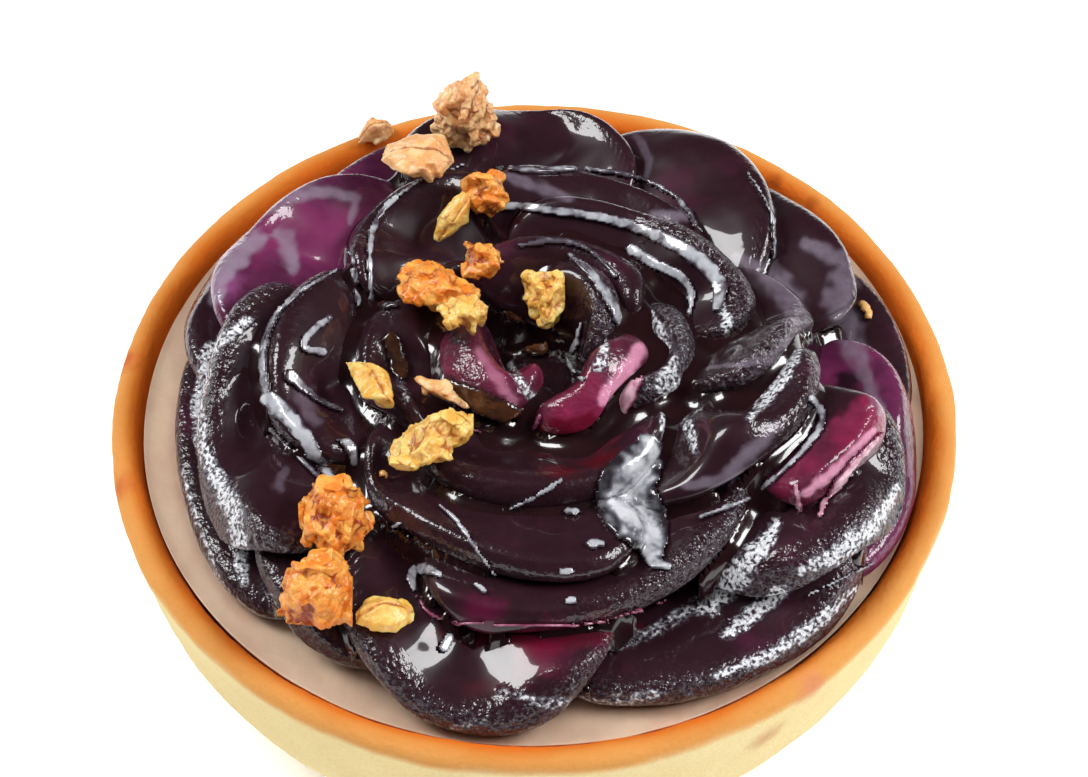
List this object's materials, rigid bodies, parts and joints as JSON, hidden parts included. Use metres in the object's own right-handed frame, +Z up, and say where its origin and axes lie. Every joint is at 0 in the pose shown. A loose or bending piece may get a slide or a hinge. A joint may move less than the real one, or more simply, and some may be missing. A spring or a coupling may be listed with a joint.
{
  "type": "pear and cheese tart",
  "caption": "Round individual shortcrust tartlet with a pale cheese filling, a rose of glazed wine-poached pear slices and a crumbled oat granola arc.",
  "frame": {"origin": "middle of the flat base, on the surface that the tart stands on", "axes": "+Z up out of the filling; -Y towards the front, where the arc of granola lies on the left (-X) side"},
  "size_m": [0.09, 0.09, 0.0427],
  "materials": {
    "crust": "matte baked shortcrust",
    "cheese": "soft satin cream",
    "pear_plum": "wet glazed fruit, nearly black purple",
    "pear_violet": "wet glazed fruit, purple",
    "pear_wine": "wet glazed fruit, wine red",
    "granola": "toasted oat, rough"
  },
  "bodies": {
    "root": {"cheese_filling": "cheese", "crust_shell": "crust", "granola_back_flake": "granola", "granola_back_high": "granola", "granola_bud": "granola", "granola_cluster": "granola", "granola_cluster_back": "granola", "granola_cluster_low": "granola", "granola_crescent": "granola", "granola_flake": "granola", "granola_front_left": "granola", "granola_left": "granola", "granola_rim": "granola", "granola_ring_back": "granola", "granola_ring_tongue": "granola", "granola_sliver": "granola", "granola_star": "granola", "pear_bud_back": "pear_plum", "pear_bud_front": "pear_wine", "pear_bud_inner": "pear_plum", "pear_bud_left": "pear_wine", "pear_bud_right": "pear_plum", "pear_heart": "pear_plum", "pear_inner_back": "pear_plum", "pear_inner_back_left": "pear_plum", "pear_inner_front": "pear_plum", "pear_inner_left": "pear_plum", "pear_rim_back": "pear_plum", "pear_rim_back_left": "pear_violet", "pear_rim_back_right": "pear_plum", "pear_rim_front": "pear_plum", "pear_rim_front_left": "pear_plum", "pear_rim_front_right": "pear_plum", "pear_rim_left": "pear_plum", "pear_rim_left_back": "pear_plum", "pear_rim_left_high": "pear_violet", "pear_rim_left_low": "pear_plum", "pear_rim_right": "pear_plum", "pear_rim_right_back": "pear_plum", "pear_rim_right_front": "pear_plum", "pear_rim_right_low": "pear_violet", "pear_rim_wedge": "pear_wine", "pear_ring_back": "pear_plum", "pear_ring_back_left": "pear_plum", "pear_ring_front": "pear_plum", "pear_ring_front_left": "pear_plum", "pear_ring_front_right": "pear_plum", "pear_ring_left": "pear_plum", "pear_ring_right": "pear_plum"}
  },
  "joints": []
}
